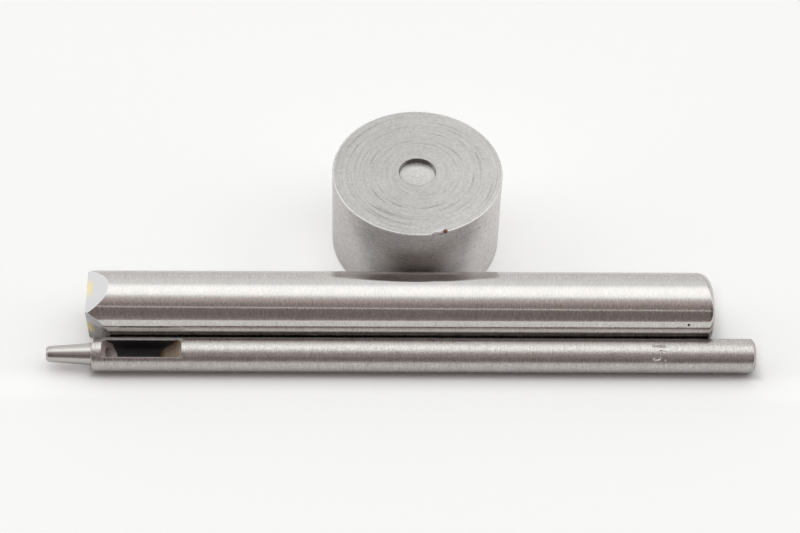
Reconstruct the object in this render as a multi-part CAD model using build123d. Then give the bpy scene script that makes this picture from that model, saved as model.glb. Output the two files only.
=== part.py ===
from build123d import *
import math
import os

# Rivet setter: a round anvil, a setter rod and a hollow punch, laid side by side on a bench.
# Millimetres, +Z up, +X along both rods towards their struck ends.
# The origin is the centre of the anvil's bottom face, and all three pieces rest on Z = 0.

# Anvil: a short round block with a flat-floored recess that holds the rivet cap.
ANVIL_DIAMETER = 30.0
ANVIL_HEIGHT = 17.5
ANVIL_RIM_CHAMFER = 0.15
ANVIL_BASE_CHAMFER = 0.4
RECESS_DIAMETER = 6.4
RECESS_DEPTH = 1.2
RECESS_RIM_CHAMFER = 0.1

# Setter rod: a round bar with a square nose ground on one end and a rounded struck end.
SETTER_DIAMETER = 12.0
SETTER_LENGTH = 108.0
SETTER_HEAD_X = 51.0
SETTER_HEAD_FILLET = 1.0
NOSE_WIDTH = 8.1
NOSE_FACETS = 4
NOSE_FACET_ANGLE = 26.5
NOSE_ROLL = 8.5
CUP_DIAMETER = 6.2
CUP_DEPTH = 0.8

# Hollow punch: a round bar with a slim tapered tip, bored through to an open chip slot.
PUNCH_DIAMETER = 6.0
PUNCH_BODY_LENGTH = 114.0
PUNCH_HEAD_X = 58.0
PUNCH_HEAD_CHAMFER = 0.5
PUNCH_SHOULDER_FILLET = 0.4
TIP_LENGTH = 7.8
TIP_ROOT_DIAMETER = 3.8
TIP_NOSE_DIAMETER = 2.72
TIP_EDGE_WALL = 0.35
TIP_BEVEL_LENGTH = 0.4
HOLE_DIAMETER = 1.5
HOLE_LAND_LENGTH = 5.0
RELIEF_DIAMETER = 2.4

# Chip slot in the punch: milled with disc cutters that have small round corners, a small one at the
# tip's end and a larger one at the struck end. The roll turns the slot's mouth towards the front.
SLOT_LENGTH = 13.7
SLOT_WIDTH = 3.1
SLOT_FROM_SHOULDER = 1.8
SLOT_BELOW_AXIS = 1.2
SLOT_CORNER_RADIUS = 0.6
SLOT_TIP_RADIUS = 4.5
SLOT_HEAD_RADIUS = 6.0
SLOT_ROLL = 16.5

# How the pieces lie: the gap between the anvil and the setter, and the one between the two rods.
LAY_GAP = 0.2
ROD_GAP = 0.04

# How far a cutting tool runs past the surface it cuts.
TOOL_OVERRUN = 1.0

# Sizes and places worked out from the ones above.
anvil_radius = ANVIL_DIAMETER / 2
setter_radius = SETTER_DIAMETER / 2
punch_radius = PUNCH_DIAMETER / 2
setter_y = -(anvil_radius + LAY_GAP + setter_radius)
rod_spacing = setter_radius + punch_radius + ROD_GAP
punch_y = setter_y - math.sqrt(rod_spacing**2 - (setter_radius - punch_radius) ** 2)


def round_bar(diameter, length):
    """A bar along +X that starts at the origin."""
    return extrude(Plane.YZ * Circle(diameter / 2), length)


def anvil():
    """The round base block, its recess and its broken edges."""
    block = extrude(Circle(anvil_radius), ANVIL_HEIGHT)
    block = chamfer(block.edges().group_by(Axis.Z)[-1], ANVIL_RIM_CHAMFER)
    block = chamfer(block.edges().group_by(Axis.Z)[0], ANVIL_BASE_CHAMFER)
    recess_floor = Plane.XY.offset(ANVIL_HEIGHT - RECESS_DEPTH)
    block -= extrude(recess_floor * Circle(RECESS_DIAMETER / 2), RECESS_DEPTH)
    mouth = block.edges().filter_by(GeomType.CIRCLE).group_by(Axis.Z)[-1]
    return chamfer(mouth.sort_by(SortBy.RADIUS)[0], RECESS_RIM_CHAMFER)


def nose_wedge():
    """What grinding takes off one side of the setter's nose, above its top facet."""
    half = NOSE_WIDTH / 2
    clear = setter_radius + TOOL_OVERRUN
    reach = (clear - half) / math.tan(math.radians(NOSE_FACET_ANGLE))
    outline = make_face(Polyline((0, half), (0, clear), (reach, clear), close=True))
    return extrude(Plane.XZ * outline, clear, both=True)


def nose_cup():
    """The ball that leaves the shallow round cup in the end of the nose, its pole on the rod's axis."""
    cup_radius = CUP_DIAMETER / 2
    ball_radius = (cup_radius**2 + CUP_DEPTH**2) / (2 * CUP_DEPTH)
    return Pos(CUP_DEPTH - ball_radius, 0, 0) * Rot(Y=90) * Sphere(ball_radius)


def setter():
    """The setter rod along +X, with its nose at the origin."""
    body = round_bar(SETTER_DIAMETER, SETTER_LENGTH)
    body = fillet(body.edges().group_by(Axis.X)[-1], SETTER_HEAD_FILLET)
    wedge = nose_wedge()
    for side in range(NOSE_FACETS):
        body -= Rot(X=NOSE_ROLL + side * 360 / NOSE_FACETS) * wedge
    return body - nose_cup()


def slot_end_reach(cutter_radius):
    """How far from a cutter's centre the slot still opens at the top of the bar."""
    floor_to_top = SLOT_BELOW_AXIS + punch_radius
    return math.sqrt(floor_to_top * (2 * cutter_radius - floor_to_top))


def slot_cutter(cutter_radius):
    """A disc cutter with small round corners that stands on the slot's floor."""
    section = RectangleRounded(2 * cutter_radius, SLOT_WIDTH, SLOT_CORNER_RADIUS)
    half = section & Pos(cutter_radius, 0) * Rectangle(2 * cutter_radius, SLOT_WIDTH)
    return Pos(0, 0, cutter_radius - SLOT_BELOW_AXIS) * revolve(half, Axis.Y)


def slot_cutter_path():
    """All that the cutters sweep: a plunge at each end of the slot and the run between them."""
    slot_start = TIP_LENGTH + SLOT_FROM_SHOULDER
    first = slot_start + slot_end_reach(SLOT_TIP_RADIUS)
    last = slot_start + SLOT_LENGTH - slot_end_reach(SLOT_HEAD_RADIUS)
    section = Rot(Z=90) * RectangleRounded(2 * SLOT_HEAD_RADIUS, SLOT_WIDTH, SLOT_CORNER_RADIUS)
    run = Pos(first, 0, SLOT_HEAD_RADIUS - SLOT_BELOW_AXIS) * extrude(Plane.YZ * section, last - first)
    tip_end = Pos(first, 0, 0) * slot_cutter(SLOT_TIP_RADIUS)
    head_end = Pos(last, 0, 0) * slot_cutter(SLOT_HEAD_RADIUS)
    return Rot(X=SLOT_ROLL) * (tip_end + run + head_end)


def tip_hole():
    """The cutting hole: a straight land behind the edge, then a relief that widens into the slot."""
    hole_radius = HOLE_DIAMETER / 2
    slot_start = TIP_LENGTH + SLOT_FROM_SHOULDER
    in_slot = slot_start + SLOT_LENGTH / 2
    outline = Polyline(
        (0, 0),
        (0, hole_radius),
        (HOLE_LAND_LENGTH, hole_radius),
        (slot_start, RELIEF_DIAMETER / 2),
        (in_slot, RELIEF_DIAMETER / 2),
        (in_slot, 0),
        close=True,
    )
    return revolve(make_face(outline), Axis.X)


def punch():
    """The hollow punch along +X, with its cutting edge at the origin."""
    edge_radius = HOLE_DIAMETER / 2 + TIP_EDGE_WALL
    tip_outline = Polyline(
        (0, 0),
        (0, edge_radius),
        (TIP_BEVEL_LENGTH, TIP_NOSE_DIAMETER / 2),
        (TIP_LENGTH, TIP_ROOT_DIAMETER / 2),
        (TIP_LENGTH, 0),
        close=True,
    )
    bar = round_bar(PUNCH_DIAMETER, PUNCH_BODY_LENGTH)
    bar = fillet(bar.edges().group_by(Axis.X)[0], PUNCH_SHOULDER_FILLET)
    bar = chamfer(bar.edges().group_by(Axis.X)[-1], PUNCH_HEAD_CHAMFER)
    body = Pos(TIP_LENGTH, 0, 0) * bar + revolve(make_face(tip_outline), Axis.X)
    return body - slot_cutter_path() - tip_hole()


def laid_out():
    """Each piece at its place on the bench, by the name of its file."""
    punch_length = PUNCH_BODY_LENGTH + TIP_LENGTH
    return {
        "anvil": anvil(),
        "setter": Pos(SETTER_HEAD_X - SETTER_LENGTH, setter_y, setter_radius) * setter(),
        "punch": Pos(PUNCH_HEAD_X - punch_length, punch_y, punch_radius) * punch(),
    }


os.makedirs("parts", exist_ok=True)
for name, shape in laid_out().items():
    export_step(shape, f"parts/{name}.step")
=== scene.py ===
import math
import bmesh
import bpy
from bpy.props import FloatProperty, FloatVectorProperty, PointerProperty
from mathutils import Matrix, Vector, noise


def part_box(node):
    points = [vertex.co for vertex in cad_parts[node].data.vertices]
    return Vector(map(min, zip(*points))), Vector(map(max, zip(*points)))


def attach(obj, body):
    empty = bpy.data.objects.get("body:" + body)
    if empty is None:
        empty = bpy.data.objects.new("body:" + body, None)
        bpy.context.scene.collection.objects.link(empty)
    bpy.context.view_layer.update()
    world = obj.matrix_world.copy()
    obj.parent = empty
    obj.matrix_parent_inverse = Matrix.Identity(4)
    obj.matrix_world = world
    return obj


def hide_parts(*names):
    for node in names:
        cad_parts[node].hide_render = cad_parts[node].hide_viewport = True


bl_info = {
    "name": "Rivet setter finishes",
    "version": (1, 0, 0),
    "blender": (4, 5, 0),
    "location": "3D View > Sidebar > Rivet setter",
    "description": "Bare steel shapes, finishes and wear for a rivet setting set, and a plain stage",
    "category": "Object",
}

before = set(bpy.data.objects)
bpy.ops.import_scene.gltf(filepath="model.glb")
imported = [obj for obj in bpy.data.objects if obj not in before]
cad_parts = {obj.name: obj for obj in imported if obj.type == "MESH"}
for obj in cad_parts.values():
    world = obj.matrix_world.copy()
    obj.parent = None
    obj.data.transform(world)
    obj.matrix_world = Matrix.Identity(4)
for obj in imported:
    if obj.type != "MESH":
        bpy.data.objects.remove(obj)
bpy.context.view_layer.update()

MM = 0.001


class Bar:
    """Where a bar lies that runs along +X: its middle line, its ends and its radius, in millimetres."""

    def __init__(self, node):
        low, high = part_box(node)
        self.start = low[0] / MM
        self.end = high[0] / MM
        self.y = (low[1] + high[1]) / 2 / MM
        self.z = (low[2] + high[2]) / 2 / MM
        self.radius = (high[2] - low[2]) / 2 / MM

    def corner(self, along, radius, turn):
        """A place on the bar. The turn is 0 level at the front and a quarter straight up."""
        front_to_back = self.y - radius * math.cos(turn)
        return Vector((self.start + along, front_to_back, self.z + radius * math.sin(turn)))


SETTER_BAR = Bar("setter")
PUNCH_BAR = Bar("punch")
ANVIL_LOW, ANVIL_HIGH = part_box("anvil")
ANVIL_TOP = ANVIL_HIGH[2] / MM
ANVIL_RADIUS = (ANVIL_HIGH[0] - ANVIL_LOW[0]) / 2 / MM


# Shader maths

def arithmetic(operation, swapped=False):
    """The method for one of Python's operators. Swapped is for a plain number on the left."""
    def method(term, other):
        pair = (other, term) if swapped else (term, other)
        return term.finish.maths(operation, *pair)
    return method


class Term:
    """A shader socket that Python's operators can do sums on."""

    def __init__(self, finish, socket):
        self.finish = finish
        self.socket = socket

    __add__ = arithmetic("ADD")
    __radd__ = arithmetic("ADD", True)
    __sub__ = arithmetic("SUBTRACT")
    __rsub__ = arithmetic("SUBTRACT", True)
    __mul__ = arithmetic("MULTIPLY")
    __rmul__ = arithmetic("MULTIPLY", True)
    __truediv__ = arithmetic("DIVIDE")

    def __neg__(self):
        return self * -1.0


class Finish:
    """A material or a world that is being made out of shader nodes."""

    def __init__(self, owner):
        owner.use_nodes = True
        self.owner = owner
        self.tree = owner.node_tree
        self.tree.nodes.clear()

    def _pick(self, sockets, key):
        if isinstance(key, int):
            return sockets[key]
        for socket in sockets:
            if key in (socket.identifier, socket.name):
                return socket
        raise KeyError(f"no socket named {key}")

    def node(self, kind, settings=None, values=None, out=0):
        """Adds a node: first its settings, then the values or links of its sockets. Gives one output."""
        made = self.tree.nodes.new(kind)
        for name, value in (settings or {}).items():
            if name == "stops":
                self._set_stops(made.color_ramp, value)
            else:
                setattr(made, name, value)
        for key, value in (values or {}).items():
            socket = self._pick(made.inputs, key)
            if isinstance(value, Term):
                self.tree.links.new(value.socket, socket)
            else:
                socket.default_value = value
        return Term(self, self._pick(made.outputs, out)) if len(made.outputs) else made

    def _set_stops(self, ramp, stops):
        while len(ramp.elements) > 1:
            ramp.elements.remove(ramp.elements[0])
        for place, level in stops:
            stop = ramp.elements[0] if place == stops[0][0] else ramp.elements.new(place)
            stop.position = place
            stop.color = (level, level, level, 1.0)

    def maths(self, operation, *values):
        """One step of arithmetic on numbers and sockets."""
        return self.node("ShaderNodeMath", {"operation": operation}, dict(enumerate(values)))

    def vector(self, x, y, z):
        """Three numbers or sockets as one vector."""
        return self.node("ShaderNodeCombineXYZ", None, {0: x, 1: y, 2: z})

    def parts(self, vector):
        """The x, y and z of a vector."""
        outputs = self.node("ShaderNodeSeparateXYZ", None, {0: vector}).socket.node.outputs
        return [Term(self, outputs[i]) for i in range(3)]

    def point(self):
        """Where the surface is on the object, as x, y and z in millimetres."""
        place = self.node("ShaderNodeTexCoord", out="Object")
        values = {0: place, "Scale": 1 / MM}
        return self.parts(self.node("ShaderNodeVectorMath", {"operation": "SCALE"}, values))

    def cloud(self, x, y, z, detail=2.0, roughness=0.5):
        """Soft random patches about one unit wide, from 0 to 1."""
        values = {"Vector": self.vector(x, y, z), "Scale": 1.0, "Detail": detail, "Roughness": roughness}
        return self.node("ShaderNodeTexNoise", None, values)

    def ease(self, value, start, end, low=0.0, high=1.0):
        """Goes smoothly from low at start to high at end, and stays there."""
        values = {"Value": value, "From Min": start, "From Max": end, "To Min": low, "To Max": high}
        return self.node("ShaderNodeMapRange", {"interpolation_type": "SMOOTHSTEP"}, values)

    def near(self, value, centre, reach):
        """1 where a value is at the centre, falling to 0 at the reach on both sides."""
        return self.ease(self.size(value - centre), reach, reach * 0.3)

    def size(self, value):
        """A value without its sign."""
        return self.maths("ABSOLUTE", value)

    def root(self, value):
        """Square root."""
        return self.maths("SQRT", value)

    def angle(self, up, along):
        """The angle in radians whose tangent is up over along."""
        return self.maths("ARCTAN2", up, along)

    def most(self, first, second):
        """The larger of two values."""
        return self.maths("MAXIMUM", first, second)

    def blend(self, share, first, second):
        """A colour between two others."""
        values = {"Factor_Float": share, "A_Color": first, "B_Color": second}
        return self.node("ShaderNodeMix", {"data_type": "RGBA"}, values, "Result_Color")

    def shade(self, colour, level):
        """A colour times a grey level."""
        grey = self.node("ShaderNodeCombineColor", None, {0: level, 1: level, 2: level})
        settings = {"data_type": "RGBA", "blend_type": "MULTIPLY"}
        values = {"Factor_Float": 1.0, "A_Color": colour, "B_Color": grey}
        return self.node("ShaderNodeMix", settings, values, "Result_Color")

    def bump(self, height, depth):
        """A normal from a height of 0 to 1 that stands for a depth in millimetres."""
        values = {"Strength": 1.0, "Distance": depth * MM, "Height": height}
        return self.node("ShaderNodeBump", None, values)

    def steel(self, tint, roughness, metallic, normal):
        """Wires up bare metal and gives the finished material."""
        values = {"Base Color": tint, "Metallic": metallic, "Roughness": roughness, "Normal": normal}
        shader = self.node("ShaderNodeBsdfPrincipled", None, values)
        self.node("ShaderNodeOutputMaterial", None, {"Surface": shader})
        return self.owner


# Colours of small marks, some of them painted highlights, light and shade, and of dim and bright light
WORN_RIM_AND_GLINT = (0.8, 0.79, 0.77, 1.0)
WORN_ARRIS_AND_GLINT = (0.85, 0.84, 0.82, 1.0)
PIT_PAINTED_SHADE = (0.02, 0.02, 0.02, 1.0)
RAMP_LIGHT_PATCH = (0.66, 0.64, 0.61, 1.0)
ORANGE_RIM = (0.36, 0.15, 0.05, 1.0)
RAMP_RIM_HIGHLIGHT = (0.56, 0.51, 0.43, 1.0)
TORN_LIP_AND_SHEEN = (0.62, 0.6, 0.58, 1.0)
DIM_LIGHT = (1.13, 0.965, 0.94, 1.0)
BRIGHT_LIGHT = (0.97, 1.0, 0.995, 1.0)
WHITE = (1.0, 1.0, 1.0, 1.0)


# Turned shapes

def stations(start, end, step, close_ups=()):
    """Places from start to end, a step apart. Each close-up (from, to, step) has finer steps."""
    places = [start]
    while places[-1] < end - 1e-6:
        here = places[-1]
        fine = [fine_step for low, high, fine_step in close_ups if low - 1e-6 <= here < high - 1e-6]
        ahead = [low for low, high, fine_step in close_ups if low > here + 1e-6]
        places.append(min([here + min(fine + [step]), end] + ahead))
    return places


def rounding(centre, radius, first, last, count=8):
    """Points of an arc from one angle in degrees to another, as (along, radius) pairs."""
    angles = [math.radians(first + (last - first) * i / count) for i in range(count + 1)]
    return [(centre[0] + radius * math.cos(a), centre[1] + radius * math.sin(a)) for a in angles]


def turned(outline, turns, place, sunk):
    """A closed form turned from an outline of (along, radius) that starts and ends on its axis.

    place gives a corner's position. sunk tells how deep a corner lies below the outline.
    """
    form = bmesh.new()
    rows = []
    for i, (along, radius) in enumerate(outline):
        if radius == 0:
            rows.append([form.verts.new(place(along, 0, 0))] * len(turns))
            continue
        way = (Vector(outline[i + 1]) - Vector(outline[i - 1])).normalized()
        row = []
        for turn in turns:
            depth = sunk(along, radius, turn)
            row.append(form.verts.new(place(along + way.y * depth, radius - way.x * depth, turn)))
        rows.append(row)
    for near_row, far_row in zip(rows, rows[1:]):
        for i in range(len(turns)):
            corners = (near_row[i - 1], near_row[i], far_row[i], far_row[i - 1])
            form.faces.new(list(dict.fromkeys(corners)))
    bmesh.ops.recalc_face_normals(form, faces=form.faces)
    return form


def placed(name, data):
    """A new object in the scene."""
    made = bpy.data.objects.new(name, data)
    bpy.context.scene.collection.objects.link(made)
    return made


def finished_piece(name, form, node, body, material):
    """Turns a form in millimetres into a piece that stands for a node."""
    mesh = bpy.data.meshes.new(name)
    bmesh.ops.recalc_face_normals(form, faces=form.faces)
    form.to_mesh(mesh)
    form.free()
    mesh.transform(Matrix.Scale(MM, 4))
    mesh.shade_smooth()
    mesh.set_sharp_from_angle(angle=math.radians(16))
    mesh.materials.append(material)
    piece = placed(name, mesh)
    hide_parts(node)
    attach(piece, body)
    return piece


def dip(distance, width):
    """A smooth hollow: 1 in the middle and next to nothing at twice its width."""
    return math.exp(-((distance / width) ** 2))


def wander(x, y, z):
    """Smooth noise between about -1 and 1."""
    return noise.noise(Vector((x, y, z)))


# Sizes and colours that a user would change

def length(name, description, value):
    """A length property, given in millimetres."""
    return FloatProperty(name=name, description=description, default=value * MM, unit="LENGTH", precision=5)


def angle(name, description, degrees):
    """An angle property, given in degrees."""
    turn = math.radians(degrees)
    return FloatProperty(name=name, description=description, unit="ROTATION", default=turn)


def tint(name, description, value):
    """A colour property, with the four numbers that a socket takes."""
    return FloatVectorProperty(
        name=name, description=description, subtype="COLOR", size=4, default=(*value, 1.0)
    )


def share(name, description, value):
    """A property from 0 to 1."""
    return FloatProperty(
        name=name, description=description, subtype="FACTOR", default=value, min=0.0, max=1.0
    )


class AnvilLook(bpy.types.PropertyGroup):
    """The shape and finish of the round anvil."""
    rim_round: length("Rim round", "Radius of the worn rim of the top face", 0.15)
    base_round: length("Base round", "Radius of the edge round the bottom", 0.4)
    recess: length("Recess", "Diameter of the recess in the top face", 6.4)
    recess_depth: length("Recess depth", "Middle depth of the recess", 1.2)
    recess_dish: length("Recess dish", "How much the recess's floor is dished", 0.22)
    ring_depth: length("Ring depth", "Depth of the strongest turned rings", 0.012)
    chip_depth: length("Chip depth", "Depth of the chip in the rim", 0.28)
    face_tint: tint("Face steel", "Colour of the faced top", (0.475, 0.452, 0.437))
    side_tint: tint("Side steel", "Colour of the turned side", (0.6, 0.575, 0.565))
    rust_tint: tint("Rust", "Colour of the rust in the chip", (0.15, 0.06, 0.04))
    face_roughness: share("Face roughness", "Roughness of the top", 0.36)
    side_roughness: share("Side roughness", "Roughness of the side", 0.42)


class SetterLook(bpy.types.PropertyGroup):
    """The shape and finish of the setter rod."""
    head_round: length("Head round", "Radius of the struck end's edge", 1.0)
    head_wear: length("Head wear", "Radius of the worn part of that edge, at the top and back", 2.6)
    nose_width: length("Nose width", "Distance across the flats at the nose", 8.1)
    nose_angle: angle("Facet angle", "Slope of the facets", 26.5)
    nose_roll: angle("Nose roll", "Turn of the facets about the rod", 8.5)
    cup: length("Cup", "Diameter of the cup in the nose", 6.2)
    cup_depth: length("Cup depth", "Depth of the cup", 0.8)
    tint: tint("Steel", "Colour of the ground steel", (0.585, 0.553, 0.533))
    facet_tint: tint("Facet steel", "Colour of the ground facets", (0.57, 0.556, 0.575))
    straw: tint("Straw tint", "Heat tint at the ends of the facets", (0.72, 0.59, 0.29))
    roughness: share("Roughness", "Roughness of the ground bar", 0.07)


class PunchLook(bpy.types.PropertyGroup):
    """The shape and finish of the hollow punch."""
    hole: length("Hole", "Diameter of the cutting hole", 1.5)
    land: length("Land", "Length of the straight hole behind the edge", 5.0)
    relief: length("Relief", "Diameter of the hole where it meets the slot", 2.4)
    tip_length: length("Tip length", "Length of the slim tip", 7.8)
    tip_root: length("Tip root", "Diameter of the tip at the shoulder", 3.8)
    tip_nose: length("Tip nose", "Diameter of the tip behind its bevel", 2.72)
    edge_wall: length("Edge wall", "Thickness of the wall at the cutting edge", 0.35)
    tip_bevel: length("Tip bevel", "Length of the bevel behind the cutting edge", 0.4)
    shoulder_round: length("Shoulder round", "Radius of the shoulder's edge", 0.4)
    head_chamfer: length("Head chamfer", "Chamfer of the struck end", 0.5)
    slot_length: length("Slot length", "Length of the chip slot", 13.7)
    slot_width: length("Slot width", "Width of the chip slot", 3.1)
    slot_from_shoulder: length("Slot from shoulder", "Distance from the shoulder to the slot", 1.8)
    slot_below_axis: length("Slot below axis", "How far the slot's floor is below the axis", 1.2)
    slot_corner: length("Slot corner", "Radius of the small round corners along the slot's floor", 0.6)
    slot_roll: angle("Slot roll", "Turn of the slot's mouth to the front", 16.5)
    stamp_depth: length("Stamp depth", "Depth of the stamped size", 0.09)
    stamp_height: length("Stamp height", "Height of the stamped figures", 2.2)
    stamp_from_head: length("Stamp from head", "Distance from the struck end to the figures' feet", 17.85)
    tint: tint("Steel", "Colour of the drawn steel", (0.53, 0.497, 0.477))
    # The top and back sheen is a painted reflection of the bright room on the punch beside the setter.
    top_back_sheen_tint: tint("Rubbed steel", "Colour of the steel that lies against the setter", (0.95, 0.92, 0.9))
    # The slot's dark colour is partly scale on the steel, partly painted shade inside the slot.
    slot_scale_and_shade_tint: tint("Slot scale", "Colour of the scale in the slot", (0.03, 0.029, 0.033))
    # The two ramp colours are painted light on the lit ramps at the slot's ends.
    tip_ramp_light_tint: tint("Tip end stain", "Colour of the slot's ramp at the tip's end", (0.42, 0.35, 0.33))
    head_ramp_light_tint: tint("Struck end stain", "Colour of the slot's ramp at the struck end", (0.34, 0.26, 0.19))
    roughness: share("Roughness", "Roughness of the drawn bar", 0.22)


class StageLook(bpy.types.PropertyGroup):
    """The floor, the light and the camera."""
    floor_tint: tint("Floor", "Colour of the paper floor", (0.96, 0.96, 0.958))
    floor_glow: share("Floor glow", "How much the open paper is lifted to white for the camera", 0.135)
    camera_place: FloatVectorProperty(
        name="Camera", description="Place of the camera", subtype="TRANSLATION", unit="LENGTH",
        default=(-0.01225, -0.27312, 0.30528), precision=5,
    )
    camera_turn: angle("Turn", "Turn of the camera to the right", 2.03)
    camera_dip: angle("Dip", "Dip of the camera below level", 48.89)
    camera_roll: angle("Roll", "Roll of the camera", 1.765)
    lens: FloatProperty(
        name="Lens", description="Focal length in millimetres on a sensor 36 mm wide", default=101.39
    )


class RivetSetterLook(bpy.types.PropertyGroup):
    """All the settings of the set."""
    anvil: PointerProperty(type=AnvilLook, name="Anvil")
    setter: PointerProperty(type=SetterLook, name="Setter rod")
    punch: PointerProperty(type=PunchLook, name="Hollow punch")
    stage: PointerProperty(type=StageLook, name="Stage")


# Anvil

# Chips and knocks of the anvil: azimuth in degrees, radius, height, width and share of the chip depth.
ANVIL_KNOCKS = (
    (-81.0, 14.95, 17.5, 0.42, 0.7),
    (-78.6, 15.0, 17.45, 0.5, 0.9),
    (-75.8, 14.95, 17.5, 0.55, 1.0),
    (-73.2, 15.0, 17.4, 0.4, 0.9),
    (-104.7, 14.3, 17.5, 0.22, 0.45),
    (75.7, 9.6, 17.5, 0.2, 0.3),
    (-50.0, 15.0, 17.5, 0.3, 0.35),
    (-131.0, 15.0, 17.5, 0.35, 0.3),
    (28.0, 15.0, 17.5, 0.4, 0.35),
    (160.0, 15.0, 17.45, 0.35, 0.4),
)

# Strong turned rings of the anvil's top: radius, azimuth where deepest, and share of the ring depth.
ANVIL_RINGS = (
    (6.1, 200, 0.5), (7.4, 185, 0.6), (8.4, 170, 0.8), (9.2, 120, 0.9), (9.9, 150, 1.0), (10.6, -20, 0.8),
    (11.3, 175, 1.0), (11.9, 10, 0.9), (12.6, 160, 0.7), (13.3, -150, 0.6), (14.1, -60, 0.5),
)

# Middle of the turned rings and middle of the rust in the chip, from the anvil's axis.
RING_MIDDLE = (0.35, -0.2)
RUST_MIDDLE = (4.55, -14.05)


def anvil_corner(along, radius, turn):
    """A place on the anvil, with its height first."""
    return Vector((radius * math.cos(turn), radius * math.sin(turn), along))


def anvil_form(look):
    """The round block: turned rings, a recess, a worn rim and its chip."""
    radius = ANVIL_RADIUS
    top = ANVIL_TOP
    recess_radius = look.recess / MM / 2
    dish = look.recess_dish / MM
    recess_floor = top - look.recess_depth / MM + dish / 2
    rim = look.rim_round / MM
    ring_depth = look.ring_depth / MM
    chip_depth = look.chip_depth / MM

    def sunk(along, at_radius, turn):
        here = anvil_corner(along, at_radius, turn)
        depth = 0.0
        for azimuth, knock_radius, height, width, strength in ANVIL_KNOCKS:
            centre = anvil_corner(height, knock_radius, math.radians(azimuth))
            away = (here - centre).length
            if away < 2.5 * width:
                ragged = 1 + 0.5 * wander(here.x * 4, here.y * 4, here.z * 4)
                depth += chip_depth * strength * ragged * dip(away, width)
        if along > top - 0.01 and recess_radius + 0.3 < at_radius < radius - 0.3:
            for ring_radius, azimuth, strength in ANVIL_RINGS:
                strong = 0.5 + 0.5 * math.cos(turn - math.radians(azimuth))
                off = at_radius - ring_radius - 0.15 * math.cos(turn - 1.0)
                depth += ring_depth * strength * strong * dip(off, 0.12)
        return max(depth, 0.0)

    edge = look.base_round / MM
    outline = [(0.0, 0.0)]
    outline += [(0.0, r) for r in stations(2.0, radius - edge - 0.2, 3.0)]
    outline += rounding((edge, radius - edge), edge, 180, 90)
    outline += [(z, radius) for z in stations(edge + 0.4, top - rim - 0.1, 1.4, [(top - 1.2, top, 0.14)])]
    outline += rounding((top - rim, radius - rim), rim, 90, 0)
    face_radii = stations(recess_radius + 0.2, radius - rim - 0.08, 0.3, [(5.6, radius, 0.15)])
    outline += [(top, r) for r in reversed(face_radii)]
    outline += rounding((top - 0.1, recess_radius + 0.1), 0.1, 0, -90, 5)
    outline += [(top - 0.4, recess_radius), (top - 0.8, recess_radius)]
    outline += rounding((recess_floor + 0.1, recess_radius - 0.1), 0.1, 90, 180, 5)
    floor_radii = stations(0.25, 2.9, 0.3)[::-1]
    outline += [(recess_floor + dish * ((r / recess_radius) ** 2 - 1), r) for r in floor_radii]
    outline += [(recess_floor - dish - 0.03, 0.1), (recess_floor - dish - 0.04, 0.0)]
    turns = [math.radians(a) for a in stations(-180.0, 180.0, 2.0, [(-84.0, -70.0, 0.5)])[:-1]]
    return turned(outline, turns, anvil_corner, sunk)


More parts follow.
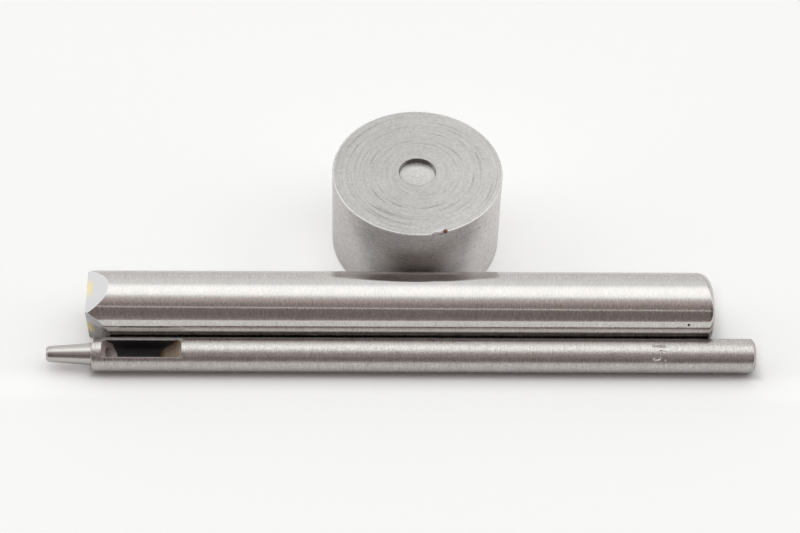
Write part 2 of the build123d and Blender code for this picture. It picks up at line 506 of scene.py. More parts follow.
def turned_steel(look):
    """Faced and turned steel: rings on the top, fine lines and knocks round the side, rust in the chip."""
    finish = Finish(bpy.data.materials.new("turned_steel_finish"))
    x, y, z = finish.point()
    top = ANVIL_TOP
    outer = ANVIL_RADIUS
    recess_radius = look.recess / MM / 2
    radius = finish.root(x * x + y * y)
    off_x = x - RING_MIDDLE[0]
    off_y = y - RING_MIDDLE[1]
    ring_radius = finish.root(off_x * off_x + off_y * off_y)
    way_x = x / radius
    way_y = y / radius

    fine_rings = finish.cloud(ring_radius * 7.0, way_x * 1.4, way_y * 1.4, 2.0, 0.6)
    bold_rings = finish.cloud(ring_radius * 2.6, way_x * 1.1, way_y * 1.1, 1.0)
    bold_rings = finish.ease(bold_rings, 0.58, 0.72)
    patches = finish.cloud(x * 0.16, y * 0.16, z * 0.16, 3.0, 0.6)
    mottle = finish.cloud(x * 1.7, y * 1.7, z * 1.7, 4.0, 0.7)
    face_height = fine_rings * 0.6 + bold_rings * 0.5 + mottle * 0.5

    side_lines = finish.cloud(way_x * 9.0, way_y * 9.0, z * 8.0, 3.0, 0.65)
    side_cuts = finish.ease(finish.cloud(way_x * 22.0, way_y * 22.0, z * 5.0, 2.0), 0.62, 0.74)
    side_mottle = finish.cloud(way_x * 30.0, way_y * 30.0, z * 2.2, 3.0, 0.65)
    side_height = side_lines * 0.9 + side_mottle * 0.5 - side_cuts * 0.5

    on_side = finish.ease(radius, outer - 0.14, outer - 0.03) * finish.ease(z, top - 0.1, top - 0.2)
    rim = finish.ease(radius, outer - 0.28, outer - 0.2) * finish.ease(z, top - 0.28, top - 0.2)
    height = face_height * (1 - on_side) + side_height * on_side
    normal = finish.bump(height, 0.012)

    in_recess = finish.ease(radius, recess_radius - 0.08, recess_radius - 0.15)
    in_recess *= finish.ease(z, top - 0.3, top - 0.6)
    grains = finish.ease(finish.cloud(x * 2.6, y * 2.6, z, 3.0, 0.75), 0.3, 0.7)
    ring_zone = finish.near(radius, 10.5, 7.0)
    face_level = 0.9 + patches * 0.2 + (fine_rings - 0.5) * 0.55 - bold_rings * 0.25 * ring_zone
    face_level += (mottle - 0.5) * 0.5 + (grains - 0.5) * 0.14 + finish.ease(x, -4.0, 12.0) * 0.1
    # Painted light on the recess floor against its wall's shade, and a painted dark reflection line round the
    # recess's edge.
    face_level += in_recess * 0.2 - finish.near(radius, recess_radius + 0.05, 0.14) * 0.3
    scrapes = finish.ease(finish.cloud(way_x * 5.0, way_y * 5.0, z * 14.0 + way_x * 3.0, 3.0, 0.7), 0.6, 0.72)
    side_level = 0.98 + (side_lines - 0.5) * 0.9 + (side_mottle - 0.5) * 0.7
    side_level -= side_cuts * 0.45 + scrapes * 0.3
    # Painted light low on the front of the side and painted shade higher up, and painted light on the side
    # towards +X.
    to_front = finish.ease(way_y, -0.5, -0.85)
    side_level += finish.ease(z, 9.0, 15.0, 0.16, -0.2) * to_front
    side_level += finish.ease(way_x, -0.1, 0.6) * 0.14
    face = finish.shade(look.face_tint, face_level)
    side = finish.shade(look.side_tint, side_level)
    steel = finish.blend(on_side, face, side)
    # The rim is painted lighter: partly real wear, partly a painted highlight.
    steel = finish.blend(rim * 0.45, steel, WORN_RIM_AND_GLINT)

    chip_x = x - RUST_MIDDLE[0]
    chip_y = y - RUST_MIDDLE[1]
    chip_z = z - top
    chip_reach = finish.root(chip_x * chip_x + chip_y * chip_y + chip_z * chip_z)
    grain = finish.cloud(x * 5.0, y * 5.0, z * 5.0, 3.0, 0.7)
    rust = finish.ease(chip_reach + (grain - 0.5) * 0.9, 0.6, 0.25)
    steel = finish.blend(rust, steel, look.rust_tint)
    roughness = look.face_roughness + (look.side_roughness - look.face_roughness) * on_side
    roughness += (mottle - 0.5) * 0.2 + rust * 0.3 - rim * 0.08 - in_recess * 0.06
    return finish.steel(steel, roughness, 1 - rust * 0.8, normal)


# Setter rod

# Knocks of the setter: distance from the nose, turn in degrees, width and depth, in millimetres.
SETTER_KNOCKS = (
    (103.45, 19.0, 0.16, 0.16), (104.2, 17.5, 0.14, 0.05), (101.9, 20.0, 0.2, 0.03), (61.0, 84.0, 0.3, 0.02),
    (35.4, 60.0, 0.25, 0.02), (88.0, 150.0, 0.3, 0.03), (20.0, 215.0, 0.4, 0.04), (70.0, 250.0, 0.3, 0.03),
)

# The worn side of the struck end: its turn in degrees, and how far a round tool stands off the far side.
WORN_TURN = 139.0
WORN_STAND_OFF = 1.25


def wear_corner(form, reach):
    """Wears the struck end's edge rounder on one side, by a round tool that stands off the other side."""
    tool_radius = SETTER_BAR.radius + WORN_STAND_OFF
    middle = SETTER_BAR.corner(0, -WORN_STAND_OFF, math.radians(WORN_TURN))
    for vert in form.verts:
        away = Vector((0, vert.co.y - middle.y, vert.co.z - middle.z))
        past_end = vert.co.x - (SETTER_BAR.end - reach)
        past_side = away.length - (tool_radius - reach)
        past = math.hypot(past_end, past_side)
        if past_end > 0 and past_side > 0 and past > reach:
            kept = reach / past
            vert.co.x = SETTER_BAR.end - reach + past_end * kept
            outward = away.normalized() * (tool_radius - reach + past_side * kept)
            vert.co.y = middle.y + outward.y
            vert.co.z = middle.z + outward.z


def setter_form(look):
    """The rod: a cup in the nose, four ground facets and a rounded struck end."""
    rod_length = SETTER_BAR.end - SETTER_BAR.start
    radius = SETTER_BAR.radius
    cup_radius = look.cup / MM / 2
    cup_depth = look.cup_depth / MM
    ball = (cup_radius**2 + cup_depth**2) / (2 * cup_depth)
    cup_end = math.degrees(math.asin(cup_radius / ball))
    head = look.head_round / MM
    half = look.nose_width / MM / 2

    def sunk(along, at_radius, turn):
        depth = 0.0
        for centre, degrees, width, deepest in SETTER_KNOCKS:
            if abs(along - centre) < 2 * width:
                around = (turn - math.radians(degrees)) * radius
                depth += deepest * dip(math.hypot(along - centre, around), width)
        return depth

    outline = [(cup_depth, 0.0)]
    outline += rounding((cup_depth - ball, 0.0), ball, 0, cup_end)[1:]
    outline += [(0.02, cup_radius + 0.03), (0.0, cup_radius + 0.08), (0.0, 5.0), (0.0, radius)]
    close_ups = [(knock[0] - 0.5, knock[0] + 0.5, 0.1) for knock in SETTER_KNOCKS[:2]]
    close_ups.append((rod_length - 3.2, rod_length, 0.2))
    outline += [(a, radius) for a in stations(1.0, rod_length - head - 0.3, 2.5, close_ups)]
    outline += rounding((rod_length - head, radius - head), head, 90, 0, 14)
    outline += [(rod_length, r) for r in (4.6, 4.2, 3.8, 3.4, 3.0, 2.5, 1.5, 0.0)]
    turns = [math.radians(a) for a in stations(0.0, 360.0, 2.5, [(14.0, 24.0, 0.8)])[:-1]]
    form = turned(outline, turns, SETTER_BAR.corner, sunk)
    wear_corner(form, look.head_wear / MM)

    slope = look.nose_angle
    for side in range(4):
        way = math.pi / 2 - look.nose_roll + side * math.pi / 2
        outward = SETTER_BAR.corner(0, 1, way) - SETTER_BAR.corner(0, 0, way)
        flat_at = SETTER_BAR.corner(0, half, way)
        flat_normal = outward * math.cos(slope) - Vector((math.sin(slope), 0, 0))
        everything = form.verts[:] + form.edges[:] + form.faces[:]
        cut = bmesh.ops.bisect_plane(
            form, geom=everything, plane_co=flat_at, plane_no=flat_normal, clear_outer=True, dist=1e-5
        )
        rim = [item for item in cut["geom_cut"] if isinstance(item, bmesh.types.BMEdge)]
        bmesh.ops.edgeloop_fill(form, edges=rim)
    return form


def bar_points(finish, bar):
    """Distance along a bar, how far towards the front and up from its middle line, and the radius."""
    x, y, z = finish.point()
    front = bar.y - y
    up = z - bar.z
    return x - bar.start, front, up, finish.root(front * front + up * up)


def ground_steel(look):
    """Ground bar steel: fine lines across the bar, soft clouds and heat tint on the nose facets."""
    finish = Finish(bpy.data.materials.new("ground_steel_finish"))
    along, front, up, radius = bar_points(finish, SETTER_BAR)
    way_front = front / radius
    way_up = up / radius

    run = along - radius
    lines = finish.cloud(run * 5.5, way_front * 4.5, way_up * 4.5, 3.0, 0.6)
    ticks = finish.cloud(run * 5.5, way_front * 12.0, way_up * 12.0, 2.0, 0.6)
    waves = finish.cloud(run * 0.35, way_front * 2.2, way_up * 2.2, 3.0, 0.6)
    grit = finish.ease(finish.cloud(along * 4.0, front * 4.0, up * 4.0, 2.0), 0.68, 0.8)
    turn = finish.angle(up, front)
    worn = finish.near(turn, math.radians(84), math.radians(34))

    slope = look.nose_angle
    half = look.nose_width / MM / 2
    quarter = math.pi / 2
    around = turn + look.nose_roll + 5 * quarter - quarter / 2
    folded = finish.maths("MODULO", around, quarter) - quarter / 2
    across = finish.maths("SINE", folded) * radius
    outward = finish.root(radius * radius - across * across)
    above_flat = (outward - half) * math.cos(slope) - along * math.sin(slope)
    on_flat = finish.ease(above_flat, -0.03, -0.012) * finish.ease(along, 4.8, 4.7)
    arris_glint = finish.ease(above_flat, -0.08, -0.02) * finish.ease(along, 5.4, 5.0)
    arris_glint *= finish.ease(radius, SETTER_BAR.radius - 0.12, SETTER_BAR.radius - 0.04)
    grinding = finish.cloud(along * 1.2, across * 6.0, radius, 3.0, 0.6)

    skin_height = lines * 0.4 + ticks * 0.7 + waves * 0.5 - grit * 0.3
    height = skin_height * (1 - on_flat) + grinding * 0.15 * on_flat
    normal = finish.bump(height, 0.008)

    marks = (lines - 0.5) * 0.42 + (ticks - 0.5) * 0.85 - grit * 0.12
    level = 0.96 + marks * (1 - worn * 0.7) + (waves - 0.5) * 0.15
    flat_level = 0.96 + (grinding - 0.5) * 0.07 - finish.ease(front, 1.5, 4.0) * 0.05
    level = level * (1 - on_flat) + flat_level * on_flat
    # Painted shade on the lower half of the rod.
    level *= finish.ease(turn, math.radians(2), math.radians(8), 0.6, 1.0)
    steel = finish.shade(look.tint, level)
    facet_steel = finish.shade(look.facet_tint, level)
    steel = finish.blend(on_flat * finish.ease(up, -1.0, 1.0, 0.0, 0.7), steel, facet_steel)
    # The facets' edges are painted lighter: partly real wear, partly a painted highlight.
    steel = finish.blend(arris_glint * 0.15, steel, WORN_ARRIS_AND_GLINT)
    soft = finish.cloud(along * 0.8, front * 0.8, up * 0.8, 2.0)
    straw = on_flat * finish.ease(along + (soft - 0.5) * 1.2, 1.5, 0.1)
    lean = finish.ease(up, 0.5, 3.0, 0.25, -0.7)
    straw *= finish.ease(finish.size(across + lean) + (soft - 0.5) * 1.2, 2.2, 0.5) * 0.9
    steel = finish.blend(straw, steel, look.straw)

    # Painted shade: the pit of the largest knock is painted near black.
    pit_along = along - SETTER_KNOCKS[0][0]
    pit_around = (turn - math.radians(SETTER_KNOCKS[0][1])) * SETTER_BAR.radius
    pit_painted_shade = finish.ease(finish.root(pit_along * pit_along + pit_around * pit_around), 0.24, 0.1)
    steel = finish.blend(pit_painted_shade, steel, PIT_PAINTED_SHADE)
    roughness = look.roughness + lines * 0.05 + waves * 0.04 + on_flat * 0.16 + pit_painted_shade * 0.4
    return finish.steel(steel, roughness, 1 - pit_painted_shade * 0.6, normal)


# Hollow punch

# The stamped size: points of each figure's run as (across, up, share of the depth), in figure heights.
STAMPED_ONE = ((-0.38, 0.02, 0.9), (-0.36, 0.95, 0.9), (-0.42, 0.84, 0.7))
STAMPED_FIVE = (
    (0.68, 0.99, 1.0), (0.6, 0.99, 0.5), (0.05, 0.99, 0.4), (0.03, 0.55, 0.65), (0.2, 0.66, 0.4),
    (0.42, 0.68, 0.5), (0.56, 0.6, 0.8), (0.645, 0.46, 1.0), (0.67, 0.3, 1.0), (0.645, 0.12, 1.0),
    (0.56, 0.0, 0.8), (0.42, -0.05, 0.5), (0.22, 0.0, 0.35),
)
STAMPED_STROKES = [pair for run in (STAMPED_ONE, STAMPED_FIVE) for pair in zip(run, run[1:])]
STAMP_START_TURN = 67.5

# Width of a stroke in millimetres, and the distance, width and share of the ridge thrown up beside it.
STROKE_WIDTH = 0.085
RIDGE_AWAY = 0.2
RIDGE_WIDTH = 0.07
RIDGE_SHARE = 0.4


def struck(across, up, figure):
    """How deep the figures are struck at a place, as a share of the stamp's depth."""
    deepest = 0.0
    raised = 0.0
    for (x0, y0, share0), (x1, y1, share1) in STAMPED_STROKES:
        run_x = x1 - x0
        run_y = y1 - y0
        part = ((across - x0) * run_x + (up - y0) * run_y) / (run_x**2 + run_y**2)
        part = min(max(part, 0.0), 1.0)
        away = math.hypot(across - x0 - part * run_x, up - y0 - part * run_y) * figure
        strength = share0 + (share1 - share0) * part
        deepest = max(deepest, strength * dip(away, STROKE_WIDTH))
        raised = max(raised, strength * dip(away - RIDGE_AWAY, RIDGE_WIDTH))
    return deepest - RIDGE_SHARE * raised * (1 - min(deepest * 2, 1.0))


# Radii of the disc cutters at the slot's tip end and struck end, and the steps round a quarter of each.
TIP_CUTTER = 4.5
HEAD_CUTTER = 6.0
CUTTER_STEPS = 14


def slot_span(look):
    """Where the slot starts and ends, from the tip's end."""
    start = look.tip_length / MM + look.slot_from_shoulder / MM
    return start, start + look.slot_length / MM


def slot_tool(look):
    """What the disc cutters take out: a flat trough with small round corners that curves up at both ends."""
    half = look.slot_width / MM / 2
    corner = look.slot_corner / MM
    below = look.slot_below_axis / MM
    start, end = slot_span(look)
    floor_to_top = below + PUNCH_BAR.radius
    first = start + math.sqrt(floor_to_top * (2 * TIP_CUTTER - floor_to_top))
    last = end - math.sqrt(floor_to_top * (2 * HEAD_CUTTER - floor_to_top))
    clear = PUNCH_BAR.radius + 3.0

    def place(along, across, up):
        turn = math.pi / 2 - look.slot_roll
        outward = PUNCH_BAR.corner(along, up, turn)
        sideways = PUNCH_BAR.corner(0, across, turn - math.pi / 2) - PUNCH_BAR.corner(0, 0, 0)
        return outward + sideways

    form = bmesh.new()
    columns = []
    half_section = rounding((half - corner, -corner), corner, 0, 90, 6) + [(0.4, 0.0)]
    section = [(-across, bulge) for across, bulge in half_section] + [(0.0, 0.0)] + half_section[::-1]
    for across, bulge in section:
        tip_reach = TIP_CUTTER + bulge
        head_reach = HEAD_CUTTER + bulge
        path = [(first - tip_reach, clear)]
        path += rounding((first, TIP_CUTTER - below), tip_reach, 180, 270, CUTTER_STEPS)
        path += rounding((last, HEAD_CUTTER - below), head_reach, 270, 360, CUTTER_STEPS)
        path.append((last + head_reach, clear))
        columns.append([form.verts.new(place(along, across, up)) for along, up in path])
    for near_column, far_column in zip(columns, columns[1:]):
        for i in range(len(near_column) - 1):
            form.faces.new((near_column[i], near_column[i + 1], far_column[i + 1], far_column[i]))
    form.faces.new(columns[0])
    form.faces.new(reversed(columns[-1]))
    form.faces.new([column[0] for column in columns] + [column[-1] for column in reversed(columns)])
    bmesh.ops.recalc_face_normals(form, faces=form.faces)
    return form


def cut_away(form, tool):
    """Takes a closed tool shape out of a form."""
    stock = []
    for name, part in (("stock", form), ("tool", tool)):
        mesh = bpy.data.meshes.new(name)
        part.to_mesh(mesh)
        part.free()
        stock.append(placed(name, mesh))
    modifier = stock[0].modifiers.new("cut", "BOOLEAN")
    modifier.operation = "DIFFERENCE"
    modifier.solver = "EXACT"
    modifier.object = stock[1]
    result = bmesh.new()
    result.from_object(stock[0], bpy.context.evaluated_depsgraph_get())
    for piece in stock:
        mesh = piece.data
        bpy.data.objects.remove(piece)
        bpy.data.meshes.remove(mesh)
    return result


def punch_form(look):
    """The hollow punch: bored tip, shoulder, body with its slot and stamped size, struck end."""
    body_end = PUNCH_BAR.end - PUNCH_BAR.start
    radius = PUNCH_BAR.radius
    hole = look.hole / MM / 2
    land = look.land / MM
    relief = look.relief / MM / 2
    tip = look.tip_length / MM
    root = look.tip_root / MM / 2
    nose = look.tip_nose / MM / 2
    wall = look.edge_wall / MM
    bevel = look.tip_bevel / MM
    shoulder = look.shoulder_round / MM
    chamfer = look.head_chamfer / MM
    slot_start, slot_end = slot_span(look)
    in_slot = (slot_start + slot_end) / 2
    foot = body_end - look.stamp_from_head / MM
    figure = look.stamp_height / MM
    stamp = look.stamp_depth / MM

    def sunk(along, at_radius, turn):
        if at_radius < radius:
            return 0.0
        depth = 0.003 * wander(along * 0.5, 4 * math.cos(turn), 4 * math.sin(turn))
        if slot_start - 1 < along < slot_end + 1:
            depth += 0.006 * wander(along * 1.5, 9 * math.cos(turn), 9 * math.sin(turn))
        up = (along - foot) / figure
        across = (math.radians(STAMP_START_TURN) - turn) * radius / figure
        if -0.25 < up < 1.2 and -0.6 < across < 0.95:
            across += 0.03 * wander(along * 2.2, 0.3, 0.7)
            depth += stamp * struck(across, up, figure)
        return depth

    outline = [(in_slot, 0.0), (in_slot, relief * 0.5), (in_slot, relief), (slot_start, relief), (land, hole)]
    outline += [(2.5, hole), (0.03, hole), (0.0, hole + 0.03), (0.0, hole + wall - 0.04), (0.03, hole + wall)]
    outline += [(bevel - 0.04, nose - 0.02), (bevel + 0.05, nose + 0.005)]
    slant = (root - nose) / (tip - bevel)
    outline += [(a, nose + slant * (a - bevel)) for a in stations(1.6, tip - 0.4, 1.2)]
    outline += [(tip - 0.15, root + 0.0), (tip - 0.04, root + 0.05), (tip, root + 0.15), (tip, 2.3)]
    outline += rounding((tip + shoulder, radius - shoulder), shoulder, 180, 90)
    close_ups = [(slot_start - 0.8, slot_end + 0.8, 0.4), (foot - 0.5, foot + figure + 0.5, 0.07)]
    outline += [(a, radius) for a in stations(tip + shoulder + 0.4, body_end - chamfer - 0.3, 2.5, close_ups)]
    outline += rounding((body_end - chamfer - 0.12, radius - 0.3), 0.3, 90, 48, 4)
    outline += rounding((body_end - 0.2, radius - chamfer - 0.14), 0.2, 42, 0, 4)
    outline += [(body_end, 1.2), (body_end, 0.0)]
    turns = [math.radians(a) for a in stations(0.0, 360.0, 4.0, [(30.0, 96.0, 1.5)])[:-1]]
    form = turned(outline, turns, PUNCH_BAR.corner, sunk)
    form = cut_away(form, slot_tool(look))
    raise_burr(form, slot_start, slot_end)
    return form


# Burrs thrown up along the slot's mouth: distance from the tip's end, turn in degrees, reach and height.
SLOT_BURRS = (
    (10.6, 52.0, 0.8, 0.12), (11.0, 112.0, 0.9, 0.1), (22.3, 112.0, 0.7, 0.1), (19.8, 46.0, 0.8, 0.06),
)


def raise_burr(form, slot_start, slot_end):
    """Lifts the sharp edge of the slot's mouth into a ragged burr."""
    mouth = set()
    for edge in form.edges:
        if len(edge.link_faces) == 2 and edge.calc_face_angle() > 0.5:
            mouth.update(edge.verts)
    middle = Vector((0, PUNCH_BAR.y, PUNCH_BAR.z))
    for vert in mouth:
        along = vert.co.x - PUNCH_BAR.start
        out = Vector((0, vert.co.y, vert.co.z)) - middle
        if not slot_start - 0.5 < along < slot_end + 0.5 or out.length < PUNCH_BAR.radius - 0.1:
            continue
        turn = math.degrees(math.atan2(out.z, -out.y))
        lift = 0.02 + 0.02 * wander(vert.co.x * 3, vert.co.y * 3, vert.co.z * 3)
        for burr_along, burr_turn, reach, height in SLOT_BURRS:
            around = math.radians(turn - burr_turn) * PUNCH_BAR.radius
            ragged = 0.7 + 0.6 * wander(vert.co.x * 6, vert.co.y * 6, vert.co.z * 6)
            lift += height * ragged * dip(math.hypot(along - burr_along, around), reach)
        vert.co += out.normalized() * lift


def drawn_steel(look):
    """Drawn bar steel: a rough skin, a polished tip, dark scale and painted shade in the slot, painted light
    on the slot's ramps, burred lips partly painted lighter, and a painted reflection on the top and back
    beside the setter.
    """
    finish = Finish(bpy.data.materials.new("drawn_steel_finish"))
    along, front, up, radius = bar_points(finish, PUNCH_BAR)
    way_front = front / radius
    way_up = up / radius
    tip = look.tip_length / MM
    slot_start, slot_end = slot_span(look)

    run = along - radius
    lines = finish.cloud(run * 4.5, way_front * 1.6, way_up * 1.6, 3.0, 0.65)
    ticks = finish.cloud(run * 5.0, way_front * 9.0, way_up * 9.0, 3.0, 0.7)
    waves = finish.cloud(run * 0.55, way_front * 2.4, way_up * 2.4, 3.0, 0.6)
    grit = finish.ease(finish.cloud(along * 3.0, front * 3.0, up * 3.0, 3.0, 0.6), 0.62, 0.75)
    on_tip = finish.ease(along, tip - 0.02, tip - 0.08)
    tip_lines = finish.cloud(along * 9.0, way_front * 0.8, way_up * 0.8, 2.0)

    in_slot = finish.ease(radius, PUNCH_BAR.radius - 0.05, PUNCH_BAR.radius - 0.14)
    in_slot *= finish.ease(along, slot_start - 0.4, slot_start - 0.2)
    in_slot *= finish.ease(along, slot_end + 0.3, slot_end + 0.1)
    scale_grain = finish.cloud(along * 2.2, front * 3.0, up * 3.0, 4.0, 0.7)

    skin_height = lines * 0.5 + ticks * 0.9 + waves * 0.8 - grit * 0.4
    height = skin_height * (1 - on_tip) + tip_lines * 0.25 * on_tip
    height = height * (1 - in_slot) + scale_grain * 1.4 * in_slot
    normal = finish.bump(height, 0.016)

    level = 0.95 + (lines - 0.5) * 0.5 + (ticks - 0.5) * 1.5 + (waves - 0.5) * 0.25 - grit * 0.14
    level = level * (1 - on_tip) + (0.98 + (tip_lines - 0.5) * 0.12) * on_tip
    steel = finish.shade(look.tint, level)

    polar = finish.angle(up, front) * (180 / math.pi)
    # Painted reflection: the top and back of the punch beside the setter are painted lighter.
    top_back_sheen = finish.most(finish.near(polar, 103, 10), finish.ease(polar, 112, 134)) * (1 - on_tip)
    setter_end = SETTER_BAR.end - PUNCH_BAR.start
    top_back_sheen *= finish.ease(along, setter_end, setter_end - 4)
    steel = finish.blend(top_back_sheen * 0.85, steel, finish.shade(look.top_back_sheen_tint, level))

    near_lip_dip = math.radians(41)
    to_near_lip = front * math.cos(near_lip_dip) - up * math.sin(near_lip_dip)
    # Painted light: the lit parts of the ramps at both ends of the slot are painted lighter and brownish,
    # with a painted light patch on the tip end's ramp.
    tip_reach = finish.ease(to_near_lip, -2.5, -1.6) * 1.1 + finish.ease(to_near_lip, -1.6, 0.3) * 0.7 + 0.6
    tip_edge = along - slot_start - tip_reach + (scale_grain - 0.5) * 0.5
    tip_ramp = finish.ease(tip_edge, 0.15, -0.15)
    head_reach = 0.9 + finish.ease(to_near_lip, -2.8, -0.5) * 2.85
    head_edge = along - slot_end + head_reach + (scale_grain - 0.5) * 0.5
    head_ramp = finish.ease(head_edge, -0.1, 0.9)
    painted_light_patch = finish.ease(to_near_lip + (scale_grain - 0.5) * 0.8, -1.3, -0.7)
    painted_light_patch *= finish.near(tip_edge, -0.55, 0.75) * tip_ramp
    ramp_light_level = 0.5 + scale_grain
    # The slot is dark: partly scale on the steel, partly painted shade inside the slot.
    slot_colour = finish.shade(look.slot_scale_and_shade_tint, 0.6 + scale_grain * 0.8)
    slot_colour = finish.blend(tip_ramp, slot_colour, finish.shade(look.tip_ramp_light_tint, ramp_light_level))
    slot_colour = finish.blend(head_ramp, slot_colour, finish.shade(look.head_ramp_light_tint, ramp_light_level))
    slot_colour = finish.blend(painted_light_patch * 0.8, slot_colour, RAMP_LIGHT_PATCH)
    orange = finish.near(head_edge, 0.15, 0.4) * finish.ease(to_near_lip, -0.7, -0.3)
    slot_colour = finish.blend(orange * 0.4, slot_colour, ORANGE_RIM)
    # A painted highlight along the rim of the struck end's ramp.
    rim = finish.ease(along, slot_end - 0.55, slot_end - 0.15) * finish.ease(to_near_lip, -1.8, -0.6)
    slot_colour = finish.blend(rim * 0.6, slot_colour, RAMP_RIM_HIGHLIGHT)
    steel = finish.blend(in_slot, steel, slot_colour)

    ragged = (ticks - 0.5) * 8.0
    # The slot's lips are roughened and painted lighter: partly a real torn burr, partly painted light.
    lip_sheen = finish.ease(polar, 101.0, 102.0) * finish.ease(polar, 128.0, 116.0)
    lip_sheen += finish.ease(polar + ragged, 37.0, 39.0) * finish.ease(polar, 45.0, 44.0)
    lip_sheen *= finish.ease(along, slot_start - 0.1, slot_start + 0.5)
    lip_sheen *= finish.ease(along, slot_end + 0.3, slot_end) * (1 - in_slot)
    steel = finish.blend(lip_sheen * 0.6, steel, finish.shade(TORN_LIP_AND_SHEEN, 0.8 + ticks * 0.4))

    roughness = look.roughness + lines * 0.08 + waves * 0.06 - on_tip * 0.06 + in_slot * 0.4 + lip_sheen * 0.3
    metallic = 1 - in_slot * (1 - painted_light_patch * 0.6)
    return finish.steel(steel, roughness, metallic, normal)


class RIVET_OT_make_anvil(bpy.types.Operator):
    """Make the round anvil with its turned rings, recess and chipped rim"""
    bl_idname = "rivet.make_anvil"
    bl_label = "Make the anvil"

    def execute(self, context):
        look = context.scene.rivet_setter.anvil
        form = anvil_form(look)
        finished_piece("anvil_block", form, "anvil", "anvil", turned_steel(look))
        return {"FINISHED"}


class RIVET_OT_make_setter(bpy.types.Operator):
    """Make the setter rod with its square nose and rounded struck end"""
    bl_idname = "rivet.make_setter"
    bl_label = "Make the setter rod"

    def execute(self, context):
        look = context.scene.rivet_setter.setter
        form = setter_form(look)
        finished_piece("setter_rod", form, "setter", "setter", ground_steel(look))
        return {"FINISHED"}


class RIVET_OT_make_punch(bpy.types.Operator):
    """Make the hollow punch with its slot and stamped size"""
    bl_idname = "rivet.make_punch"
    bl_label = "Make the hollow punch"

    def execute(self, context):
        look = context.scene.rivet_setter.punch
        form = punch_form(look)
        finished_piece("hollow_punch", form, "punch", "punch", drawn_steel(look))
        return {"FINISHED"}


# Stage

# Light from the room by its angle: 0 is level at the front, 90 straight up, 180 level at the back.
ROOM_LIGHT = (
    (0, 0.34), (5, 0.28), (12, 0.222), (24, 0.213), (33, 0.22), (40.5, 0.25), (41.2, 1.2), (42.4, 1.2),
    (43.2, 0.27), (54, 0.335), (60, 0.44), (66, 0.54), (72, 0.67), (78, 0.98), (85, 1.54), (90, 1.66),
    (97, 1.76), (109, 1.76), (115, 1.68), (121, 1.42), (127, 1.14), (139, 1.1), (151, 1.0), (170, 0.94),
    (180, 0.9),
)
BRIGHTEST = 2.0


def room_light():
    """Soft studio light: bright overhead and behind, dim on the camera's side. White to the camera."""
    world = bpy.data.worlds.new("studio")
    bpy.context.scene.world = world
    finish = Finish(world)
    direction = finish.node("ShaderNodeTexCoord", out="Generated")
    x, y, z = finish.parts(direction)
    turn = finish.angle(z, -y) * (180 / math.pi)
    tilt = finish.ease(turn, 45, 60, 27.0, 17.0) * finish.ease(turn, 125, 95)
    tilted = turn + x * tilt * finish.ease(finish.size(x), 0.4, 0.2, 0.5, 1.0)
    stops = [(degrees / 180, level / BRIGHTEST) for degrees, level in ROOM_LIGHT]
    band = finish.node("ShaderNodeValToRGB", {"stops": stops}, {0: tilted / 180}) * BRIGHTEST
    beside = finish.ease(finish.size(x), 0.2, 0.45)
    low = finish.ease(turn, 62, 35)
    window = finish.ease(x, -0.45, -0.62) * finish.near(turn, 131, 34)
    level = band * (1 - beside * (0.2 + 0.35 * low)) * (1 + window * 0.5)
    end_on = finish.ease(finish.size(x), 0.85, 0.98)
    level = level * (1 - end_on) + finish.ease(z, 0.0, 0.4, 0.45, 1.5) * end_on
    seen = finish.node("ShaderNodeLightPath", out="Is Camera Ray")
    strength = level * (1 - seen) + seen * 0.93
    colour = finish.blend(finish.ease(level, 0.3, 1.1), DIM_LIGHT, BRIGHT_LIGHT)
    colour = finish.blend(seen, colour, WHITE)
    glow = finish.node("ShaderNodeBackground", None, {"Color": colour, "Strength": strength})
    finish.node("ShaderNodeOutputWorld", None, {"Surface": glow})


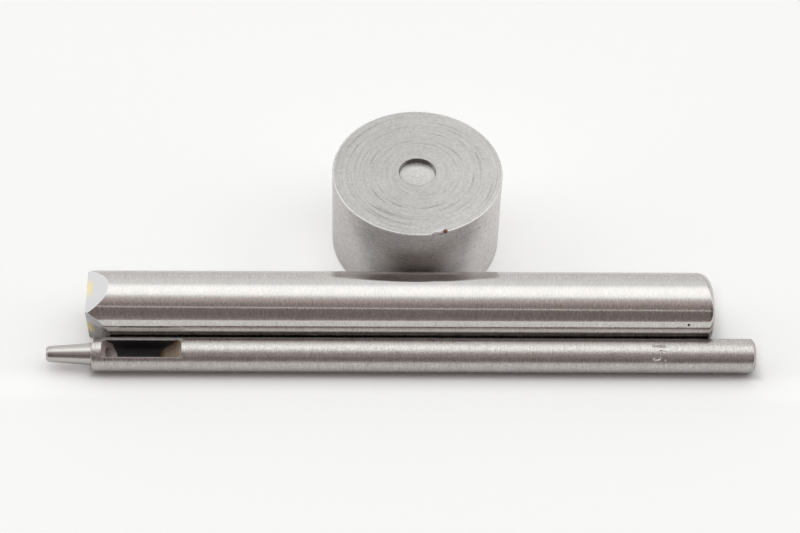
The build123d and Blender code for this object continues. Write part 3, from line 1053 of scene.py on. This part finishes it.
def paper_floor(look):
    """A wide sheet of matt paper on Z = 0, with painted shadow along the rods and painted light beside the
    punch and round the anvil.
    """
    reach = 3.0
    corners = [(-reach, -reach, 0.0), (reach, -reach, 0.0), (reach, reach, 0.0), (-reach, reach, 0.0)]
    mesh = bpy.data.meshes.new("paper_floor")
    mesh.from_pydata(corners, [], [(0, 1, 2, 3)])
    floor = placed("paper_floor", mesh)
    finish = Finish(bpy.data.materials.new("matt_paper"))
    x, y, z = finish.point()
    fibre = finish.cloud(x * 2.0, y * 2.0, z, 4.0, 0.6)
    from_punch = PUNCH_BAR.y - PUNCH_BAR.radius * 0.3 - y
    in_front = finish.ease(from_punch, 0.8, 2.6)
    past_punch = finish.ease(x, PUNCH_BAR.end - 0.5, PUNCH_BAR.end + 2.5)
    past_setter = finish.ease(x, SETTER_BAR.end, SETTER_BAR.end + 4.0)
    past_setter *= finish.ease(y, PUNCH_BAR.y + 3.0, PUNCH_BAR.y + 5.0)
    past_tip = finish.ease(x, PUNCH_BAR.start + 8.5, PUNCH_BAR.start + 6.5)
    behind = finish.ease(y, SETTER_BAR.y, SETTER_BAR.y + 12.0)
    lift = finish.most(finish.most(in_front, past_punch), finish.most(past_setter, past_tip))
    lift = finish.most(lift, behind)
    from_anvil = finish.root(x * x + y * y) - ANVIL_RADIUS
    by_anvil = finish.ease(from_anvil, 16.0, 0.0) * finish.ease(y, 8.0, -6.0)
    by_anvil *= finish.ease(x, 20.0, -15.0, 0.5, 0.9)
    # Painted light: a strip in front of the punch and the paper round the anvil's foot get a stronger lift to
    # white.
    beside = finish.near(from_punch, 3.8, 4.0) * finish.ease(finish.size(x), 95.0, 60.0) * 0.3 + by_anvil
    # The paper is a touch darker towards the front. Where lift is low, next to the rods, it is painted darker
    # still and gets no lift to white: a painted shadow.
    shade = finish.shade(look.floor_tint, finish.ease(y, -90, 120, 0.975, 1.0) + fibre * 0.01)
    shade = finish.shade(shade, 0.8 + lift * 0.2)
    paper = finish.node("ShaderNodeBsdfDiffuse", None, {"Color": shade, "Roughness": 0.6})
    to_camera = finish.node("ShaderNodeLightPath", out="Is Camera Ray")
    to_steel = finish.node("ShaderNodeLightPath", out="Is Glossy Ray")
    # The paper behind the setter also glows in the steel's reflections, a painted light.
    glow = (to_camera * lift * (1 + beside) + to_steel * behind) * look.floor_glow
    white = finish.node("ShaderNodeEmission", None, {"Color": WHITE, "Strength": glow})
    shader = finish.node("ShaderNodeAddShader", None, {0: paper, 1: white})
    finish.node("ShaderNodeOutputMaterial", None, {"Surface": shader})
    mesh.materials.append(finish.owner)


def camera(look):
    """The camera at the photograph's angle."""
    data = bpy.data.cameras.new("camera")
    data.sensor_width = 36.0
    data.lens = look.lens
    data.clip_start = 0.01
    data.clip_end = 20.0
    eye = placed("camera", data)
    turn = Matrix.Rotation(-look.camera_turn, 4, "Z")
    dip_down = Matrix.Rotation(math.pi / 2 - look.camera_dip, 4, "X")
    roll = Matrix.Rotation(look.camera_roll, 4, "Z")
    eye.matrix_world = Matrix.Translation(Vector(look.camera_place)) @ turn @ dip_down @ roll
    bpy.context.scene.camera = eye


class RIVET_OT_set_stage(bpy.types.Operator):
    """Make the paper floor, the studio light and the camera"""
    bl_idname = "rivet.set_stage"
    bl_label = "Set the stage"

    def execute(self, context):
        look = context.scene.rivet_setter.stage
        context.scene.view_settings.view_transform = "Standard"
        room_light()
        paper_floor(look)
        camera(look)
        return {"FINISHED"}


class RIVET_PT_set(bpy.types.Panel):
    """The steps that make the set"""
    bl_idname = "RIVET_PT_set"
    bl_label = "Rivet setter"
    bl_space_type = "VIEW_3D"
    bl_region_type = "UI"
    bl_category = "Rivet setter"

    def draw(self, context):
        for step in STEPS:
            self.layout.operator(step.bl_idname)


LOOKS = (AnvilLook, SetterLook, PunchLook, StageLook, RivetSetterLook)
STEPS = (RIVET_OT_make_anvil, RIVET_OT_make_setter, RIVET_OT_make_punch, RIVET_OT_set_stage)


def register():
    for kind in (*LOOKS, *STEPS, RIVET_PT_set):
        bpy.utils.register_class(kind)
    bpy.types.Scene.rivet_setter = PointerProperty(type=RivetSetterLook)


def unregister():
    del bpy.types.Scene.rivet_setter
    for kind in reversed((*LOOKS, *STEPS, RIVET_PT_set)):
        bpy.utils.unregister_class(kind)


def main():
    """Makes the set in order."""
    register()
    bpy.ops.rivet.make_anvil()
    bpy.ops.rivet.make_setter()
    bpy.ops.rivet.make_punch()
    bpy.ops.rivet.set_stage()


if __name__ == "__main__":
    main()
